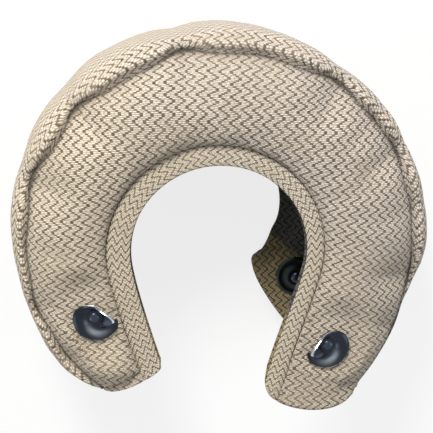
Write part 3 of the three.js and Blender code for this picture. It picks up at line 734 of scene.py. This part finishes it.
def rim_cloth(name, plan, across, inside=0.0, thick=COVER_SHEET):
    """The outer face of the rim, from seam to seam, bulging by B (1 - |2v - 1|^2.2)^0.55.

    v runs from the front seam (0) to the rear one (1). inside moves the face inwards, which gives
    the wool under it, and leaves out the columns that turn in at the seams.
    """
    full = plan.full[:, None]
    slim = slimmer(plan.b)[:, None]
    bell = gather(plan.b)[:, None] * plan.end[:, None]
    sharp = gather(plan.b, True)[:, None] * plan.end[:, None]
    seam_rho = GATHER_OUT * bell * full + 0.5
    seam_z = FRONT_SEAM - (GATHER_DROP * bell + SEAM_CREASE) * full
    start = WOOL_START if inside else 0.0
    v = 0.5 - 0.5 * np.cos(np.linspace(start, pi - start, across))[None, :]
    bulge = (RIM_PUFF - 5.5 * bell) * (0.25 + 0.75 * full) * slim - inside
    near = np.exp(-v / 0.16) + np.exp(-(1 - v) / 0.16)
    crease = 4.2 * sharp * full * near * puff(v, 2, 0.35) * slim
    s = plan.b[:, None] * 2.1
    rough = waves(s, v * 60, 11, 6, 0.008, 0.03) * 1.1
    rough = rough + waves(s, v * 60, 12, 6, 0.03, 0.08) * 0.5
    rho = seam_rho - inside + bulge * puff(v, 2.2, 0.55) - crease
    rho = rho + rough * full * puff(v, 2, 0.5) * slim
    roll = np.exp(-((v - 0.055) / 0.05) ** 2) - np.exp(-((1 - v - 0.055) / 0.05) ** 2)
    z = seam_z * (1 - v) + (2 * MIDDLE - seam_z) * v
    z = z + RIM_RISE * full * np.sin(2 * pi * v) * slim
    z = z + (3.4 - 2.2 * bell) * full * roll * slim
    z = z - np.sign(0.5 - v) * 3.0 * sharp * full * near * puff(v, 2, 0.35) * slim
    tuck = np.array([[-2.0, -0.9]])
    if not inside:
        rho = np.concatenate([rho[:, :1] + tuck, rho, rho[:, -1:] + tuck[:, ::-1]], 1)
        z = np.concatenate([z[:, :1] + tuck * 1.2, z, z[:, -1:] - tuck[:, ::-1] * 1.2], 1)
    points = plan.place(rho, z)
    length = arc_length(points)
    # Painted shade: the crease mark darkens the cloth beside both seams.
    from_seam = np.minimum(length, length[:, -1:] - length) - 2.4
    marks = {"crease": seam_shade(from_seam, sharp), "hem": 0 * rho}
    along = (plan.b * 2.12)[:, None] + 0 * length
    uv = np.stack([along, length - length[:, -1:] / 2], -1)
    wander = np.stack([waves(uv[..., 0], uv[..., 1], k, 4, 0.004, 0.015) for k in (31, 32)], -1)
    flat_size(name, points)
    return thicken(grid_mesh(name, points, uv + wander * 1.5, marks=marks), thick)


rim = rim_cloth("rim_cloth", stations(0.5, 6), 60)
rim_core = rim_cloth("rim_wool_layer", stations(2.0, 0), 24, WOOL_INSIDE, WOOL_SHEET)


# %% Linings
CORNER, GATHER_CORNER = 12, 2.5         # outer seam to inner seam, and what a gather takes off
CORNER_IN, CORNER_DOWN = 0.743, 0.669   # direction of the corner from the outer seam
LINING_PUFF, RIM_LINING_PUFF = 4.5, 4
LINING_EDGE = 0.9                       # the lining shows this much past the cover's hem


def inner_seam(plan):
    """Section coordinates of the inner seam, below and inside the outer one."""
    full, bell = plan.full[:, None], gather(plan.b)[:, None] * plan.end[:, None]
    depth = CORNER * (0.3 + 0.7 * full) - GATHER_CORNER * bell
    rho = GATHER_OUT * bell * full - CORNER_IN * depth
    return rho, FRONT_SEAM - GATHER_DROP * bell * full - CORNER_DOWN * depth


def panel_lining(name, plan, rear, across=34):
    """The cavity face of a panel, from its hem edge to the inner seam.

    It falls with x^3 to the seam and bulges into the cavity by 4.5 (1 - |2x - 1|^2.4)^0.7.
    """
    hem, width = plan.hem[:, None], (plan.rear_width if rear else plan.width)[:, None]
    full = plan.full[:, None]
    seam_rho, seam_z = inner_seam(plan)
    end_rho, end_z = seam_rho - 0.1, seam_z + 0.1
    under = FRONT_HEM + HEM_UNDER
    hem_u = np.linspace(0, 1, 8)[None, :-1]
    hem_rho = -width - LINING_EDGE * (1 - hem_u) + hem * hem_u
    hem_z = under + 0.4 * np.sin(np.pi * np.clip(hem_u * 0.9 + 0.1, 0, 1)) + 0 * hem_rho
    x = np.linspace(0, 1, across)[None, :]
    rho = (-width + hem) * (1 - x) + end_rho * x
    z = under * (1 - x ** 3) + end_z * x ** 3 - LINING_PUFF * full * puff(x, 2.4, 0.7)
    z = z + waves(plan.b[:, None] * 1.5, rho, 41, 6, 0.015, 0.05) * 0.6 * full * puff(x, 2, 0.5)
    rho, z = np.concatenate([hem_rho, rho], 1), np.concatenate([hem_z, z], 1)
    if rear:
        z = 2 * MIDDLE - z
    points = press(plan.place(rho, z), rho, width, hem, rear, FRONT_HEM - SEAT_INSIDE)
    slope = arc_length(points) - arc_length(points * [1, 1, 0])
    uv = points[..., :2] + (plan.rear_out if rear else plan.out)[:, None] * slope[..., None]
    end_distance = (LEG_END - np.abs(plan.b))[:, None] * 1.5 + 0 * rho
    facing = 1 - smooth((end_distance - 20) / 16)
    flat_size(name, points)
    sheet = grid_mesh(name, points, uv, flip=not rear, marks={"facing": facing})
    return thicken(sheet, LINING_SHEET)


def rim_lining(name, plan, across=26):
    """The cavity face of the rim, bulging outwards by 4 (1 - |2v - 1|^2.2)^0.7."""
    full = plan.full[:, None]
    seam_rho, seam_z = inner_seam(plan)
    start_rho, start_z = seam_rho + 0.1, seam_z - 0.1
    v = np.linspace(0, 1, across)[None, :]
    rough = waves(plan.b[:, None] * 2, v * 50, 51, 6, 0.015, 0.05) * 0.5 * puff(v, 2, 0.5)
    rho = start_rho + RIM_LINING_PUFF * full * puff(v, 2.2, 0.7) + rough * full
    z = start_z * (1 - v) + (2 * MIDDLE - start_z) * v
    points = plan.place(rho, z)
    uv = np.stack([(plan.b * 1.9)[:, None] + 0 * rho, arc_length(points)], -1)
    flat_size(name, points)
    sheet = grid_mesh(name, points, uv, flip=True, marks={"facing": 0 * rho})
    return thicken(sheet, LINING_SHEET)


front_lining = panel_lining("front_panel_lining", stations(1.0, 6), False)
rear_lining = panel_lining("rear_panel_lining", stations(1.0, 6), True)
rim_plan = stations(1.0, 4)
rim_plan.flap *= 0.3                    # the rim lining ends well inside the rim cloth
rim_inside = rim_lining("rim_lining", rim_plan)

# %% [markdown]
# ## Hooks, rivets and washers
# A lacing hook is stamped from sheet steel. A spiral slot frees a beak, which is bent up so that
# the lacing wire can pass under it, and the rest of the plate is dished. A rivet holds it through
# the whole pad, against a dished washer inside.

# %% Lacing hooks
SHEET, HOLE = 1.1, 2.8                  # thickness of the plate, and radius of its hole
RING = 5                                # flat ring round the rivet
START, SWEEP = -68, 63                  # the slot starts here, and sweeps on as it goes outwards
BEAK_LIFT, DISH = 5.2, 1.8
RIGHT_TURN = -16.0                      # the front right hook sits turned on its rivet


def hook_sheet(turn, f):
    """A snail-shaped plate in polar steps round its rivet.

    f runs from the flat ring (0) to the outline (1), turn from the beak round to the heel. The
    outline grows from 8 to 12.2 mm round the back, with a heel and a tip. The beak rises by
    5.2 f exp(-(turn / 75)^2), and the slot takes 22 f - 320 f^3 (1 - f) degrees off the turn.
    """
    back_part = 8 + 4.2 * smooth((turn - 105) / 75) - 1.2 * np.exp(-(((turn - 65) / 28) ** 2))
    heel = 2.4 * np.clip((turn - 200) / 160, 0, 1) ** 2
    outline = back_part + heel + 3.8 * np.exp(-((turn / 24) ** 2))
    radius = RING + (outline - RING) * f
    gap = 22 * f - 320 * f ** 3 * (1 - f)
    angle = np.radians(START + SWEEP * f + turn * (1 - gap / 360))
    beak = BEAK_LIFT * f * np.exp(-((turn / 75) ** 2))
    lip = 0.6 * smooth((f - 0.8) / 0.2) * np.exp(-((turn / 120) ** 2))
    dish = DISH * np.sin(pi * f * 0.85) * smooth(turn / 140)
    dish = dish * (1 - 0.6 * smooth((turn - 290) / 60))
    return np.stack([radius * np.cos(angle), radius * np.sin(angle), beak + lip + dish], -1)


def turned(points, degrees):
    """Turns points about the upright axis."""
    c, s = np.cos(radians(degrees)), np.sin(radians(degrees))
    x, y, z = np.moveaxis(points, -1, 0)
    return np.stack([x * c - y * s, x * s + y * c, z], -1)


def orient(points, at, side, rear):
    """Turns local hook coordinates into blanket coordinates."""
    up = -1.0 if rear else 1.0
    return points * [side, 1, up] + [at[0], at[1], REAR_HEM if rear else FRONT_HEM]


def hook(name, at, side, rear):
    """A hook plate with its hole, lifted to its seat, with a painted highlight on its lip and its
    skirt.
    """
    turns, rings = np.linspace(0, 360, 121), np.linspace(0, 1, 17)
    turn, f = np.meshgrid(turns, rings, indexing="ij")
    a = np.radians(START + turn[:, :1])
    hole = np.stack([HOLE * np.cos(a), HOLE * np.sin(a), 0 * a], -1)
    # Painted highlight: along the edge of the lip, and on a patch of the skirt beside the slot.
    lip = smooth((f - 0.86) / 0.1) * np.exp(-((turn / 105) ** 4))
    skirt = 0.5 * np.exp(-(((turn - 300) / 26) ** 2) - ((f - 0.45) / 0.3) ** 2)
    painted_glint = np.concatenate([0 * turn[:, :1], np.maximum(lip, skirt)], 1)
    points = np.concatenate([hole, hook_sheet(turn, f)], 1) + [0, 0, SEAT + CLEAR + SHEET]
    points = orient(turned(points, RIGHT_TURN if name == "front_right" else 0.0), at, side, rear)
    obj = grid_mesh("lacing_hook_" + name + "_plate", points, flip=(side > 0) != rear,
                    marks={"painted_glint": painted_glint})
    clean_mesh(obj.data, outward=False)
    thicken(obj, SHEET)
    bevel = obj.modifiers.new("Rounded edges", "BEVEL")
    bevel.width, bevel.segments = 0.00035, 2
    bevel.limit_method, bevel.angle_limit = "ANGLE", radians(50)
    return obj


def lathe(name, profile, at, side, rear, steps):
    """A profile of (radius, height) points carried round its axis, closed at both ends."""
    radius, height = np.array(profile, float).T
    a = np.linspace(0, 2 * pi, steps + 1)[:, None]
    points = np.stack([radius * np.cos(a), radius * np.sin(a), height + 0 * a], -1)
    obj = grid_mesh(name, orient(points, at, side, rear))
    clean_mesh(obj.data)
    return obj


def dome(radius, base, height, steps=10):
    """An arc from the edge of a dome to its crown."""
    t = np.linspace(0, pi / 2, steps)
    return [(radius * np.cos(v), base + height * np.sin(v)) for v in t]


SHANK_RADIUS, HEAD_RADIUS, HEAD_DOME = 2.4, 3.4, 1.7
TAIL_RADIUS, TAIL_DOME = 3.9, 2.2
WASHER_SHEET, WASHER_RISE = 1.0, 1.6
HEAD = SEAT + 2 * CLEAR + SHEET
WASHER_LOW = WASHER_TOP - WASHER_SHEET - WASHER_RISE
TAIL = WASHER_LOW - CLEAR
head = dome(HEAD_RADIUS, HEAD, HEAD_DOME)
tail = [(r, 2 * TAIL - z) for r, z in dome(TAIL_RADIUS, TAIL, TAIL_DOME)][::-1]
rivet_profile = tail + [(SHANK_RADIUS, TAIL), (SHANK_RADIUS, HEAD)] + head
# radius, and height over the washer's lowest face: the underside outwards, then the top inwards
washer_under = [(HOLE, 0.0), (5.4, 0.0), (6.6, 0.5), (8.4, 1.15), (10.2, 1.3), (10.8, 1.0),
                (11.6, 1.0), (12.4, 1.5), (13.0, 1.65)]
washer_profile = [(r, WASHER_LOW + z) for r, z in washer_under]
washer_profile += [(13.2, WASHER_TOP - 0.3), (13.0, WASHER_TOP), (9.0, WASHER_TOP - 0.35)]
washer_back = [(6.6, 1.5), (5.4, 1.0), (HOLE, 1.0), (HOLE, 0.0)]
washer_profile += [(r, WASHER_LOW + z) for r, z in washer_back]
hooks, rivets, washers = {}, {}, {}
for where, (at, side, rear) in HOOKS.items():
    hooks[where] = hook(where, at, side, rear)
    rivets[where] = lathe("rivet_" + where + "_turned", rivet_profile, at, side, rear, 48)
    name = "backing_washer_" + where + "_turned"
    washers[where] = lathe(name, washer_profile, at, side, rear, 96)

# %% [markdown]
# ## Stitching
# The hem is closed by one row of lockstitch. Each stitch is a short plump thread that dips into
# the cloth at both ends. They are one mesh, from one small tube repeated along the crease.

# %% Hem stitches
PITCH, STITCH, THREAD_RADIUS = 3.6, 3.0, 0.38


def stitches(name, rear):
    """Short bent tubes along the hem crease: the centre line rises by 0.55 sin(pi t) - 0.25."""
    plan = stations(0.25, 0)
    width = (plan.rear_width if rear else plan.width)[:, None]
    rho = -width + plan.hem[:, None] - 0.9
    z = np.full_like(rho, FRONT_HEM + HEM_TOP + 0.15)
    z = 2 * MIDDLE - z if rear else z
    line = plan.place(rho, z)[:, 0]
    s = arc_length(line[None])[0]
    starts = np.arange(2, s[-1] - PITCH, PITCH)
    t, a = np.meshgrid(np.linspace(0, 1, 7), np.linspace(0, 2 * pi, 7)[:-1], indexing="ij")
    up = -1.0 if rear else 1.0
    at_s = starts[:, None] + t[:, 0][None] * STITCH
    centre = np.stack([np.interp(at_s, s, line[:, k]) for k in range(3)], -1)
    ahead = unit(np.gradient(centre, axis=1))
    side = np.stack([-ahead[..., 1], ahead[..., 0], 0 * ahead[..., 0]], -1)
    taper = (0.35 + 0.65 * np.sin(pi * t))[None, ..., None] * THREAD_RADIUS
    centre[..., 2] += up * (np.sin(pi * t[:, 0])[None] * 0.55 - 0.25)
    sideways = side[:, :, None] * np.cos(a)[None, ..., None] * taper
    upwards = np.array([0, 0, up]) * np.sin(a)[None, ..., None] * taper
    ring = centre[:, :, None] + sideways + upwards
    count, rows, cols = ring.shape[:3]
    base = (np.arange(count) * rows * cols)[:, None, None]
    i, j = np.meshgrid(np.arange(rows - 1), np.arange(cols), indexing="ij")
    k = (j + 1) % cols
    quad = np.stack([i * cols + j, i * cols + k, (i + 1) * cols + k, (i + 1) * cols + j], -1)
    faces = (quad[None] + base[..., None]).reshape(-1, 4).tolist()
    caps = np.arange(cols)
    for n in range(count):
        faces.append((caps[::-1] + n * rows * cols).tolist())
        faces.append((caps + (rows - 1) * cols + n * rows * cols).tolist())
    mesh = bpy.data.meshes.new(name)
    mesh.from_pydata(((ring.reshape(-1, 3) + shift) / 1000).tolist(), [], faces)
    clean_mesh(mesh, weld=False)
    mesh.polygons.foreach_set("use_smooth", [True] * len(mesh.polygons))
    print(name, count, "stitches")
    return placed(name, mesh)


front_stitches = stitches("front_hem_stitches", False)
rear_stitches = stitches("rear_hem_stitches", True)

# %% [markdown]
# ## Putting it together
# Every new piece takes the place of a CAD node, gets its finish and rides on the one body. The
# rim's wool is a layer of its own, which follows the slimmer rim cloth. The other wool cores keep
# their CAD meshes, because nobody sees them, and only get a fibrous finish.

# %% Assign
def fit(piece, node, material):
    piece.data.materials.clear()
    piece.data.materials.append(material)
    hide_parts(node)
    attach(piece, "root")


fit(front_cloth, "front_cover", cover_cloth)
fit(rear_cloth, "rear_cover", cover_cloth)
fit(rim, "rim_cover", cover_cloth)
fit(front_lining, "front_liner", lining)
fit(rear_lining, "rear_liner", lining)
fit(rim_inside, "rim_liner", lining)
fit(rim_core, "rim_wool", wool)
fit(front_stitches, "front_hem_stitching", thread)
fit(rear_stitches, "rear_hem_stitching", thread)
for where in HOOKS:
    fit(hooks[where], "lacing_hook_" + where, hook_steel)
    fit(rivets[where], "rivet_" + where, rivet_steel)
    fit(washers[where], "backing_washer_" + where, washer_steel)
for node in ("front_wool", "rear_wool"):
    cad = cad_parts[node]
    cad.data.materials.clear()
    cad.data.materials.append(wool)

# %% [markdown]
# ## Studio
# The blanket lies on a plain pale floor. A large soft lamp stands beyond its closed side, where
# the photograph's light comes from, and two weak ones fill in from the left and the right.

# %% Floor and light
FLOOR_Z = -0.0008
FLOOR_GLOW, WORLD_LIGHT = 0.8, 0.26
WHITE = (1, 1, 1)


def seen_rays(finish):
    """1 for camera rays and reflections, 0 for the light that falls on the blanket."""
    path = finish.add("LightPath")
    return path.out("Is Camera Ray").max(path.out("Is Glossy Ray"))


def floor_finish():
    """Pale and matt. To the camera and in reflections it is lit up, so the picture stays white."""
    finish = Finish("studio_floor")
    matt = finish.add("BsdfPrincipled", None, Base_Color=(0.95, 0.95, 0.95), Roughness=0.9,
                      Specular_IOR_Level=0.1)
    glow = finish.add("Emission", None, Color=WHITE, Strength=1.0)
    factor = seen_rays(finish) * FLOOR_GLOW
    finish.show(finish.add("MixShader", None, factor, matt.out(), glow.out()))
    return finish.material


def studio_world():
    """White to the camera and in reflections, and a weak light from all sides otherwise."""
    finish = Finish("studio", world=True)
    strength = finish.add("MapRange", None, seen_rays(finish), 0.0, 1.0, WORLD_LIGHT, 1.0).out()
    finish.show(finish.add("Background", None, WHITE, strength))
    return finish.material


bpy.ops.mesh.primitive_plane_add(size=8, location=(0, 0, FLOOR_Z))
floor = bpy.context.object
floor.name = "studio_floor"
floor.data.materials.append(floor_finish())


def lamp(name, place, size, power, colour):
    """A round soft lamp that points at the origin."""
    data = bpy.data.lights.new(name, "AREA")
    data.shape, data.size, data.energy, data.color = "DISK", size, power, colour
    obj = bpy.data.objects.new(name, data)
    bpy.context.collection.objects.link(obj)
    obj.location = place
    obj.rotation_euler = Vector(place).to_track_quat("Z", "Y").to_euler()


WARM, COOL = (1.0, 0.975, 0.94), (0.93, 0.96, 1.0)
lamp("key", (-0.40, 1.30, 0.95), 0.5, 31.0, WARM)
lamp("fill", (-1.2, -0.7, 0.8), 0.9, 5.0, COOL)
lamp("right", (1.3, -0.1, 1.0), 0.9, 5.0, COOL)
bpy.context.scene.world = studio_world()
bpy.context.scene.view_settings.view_transform = "Standard"
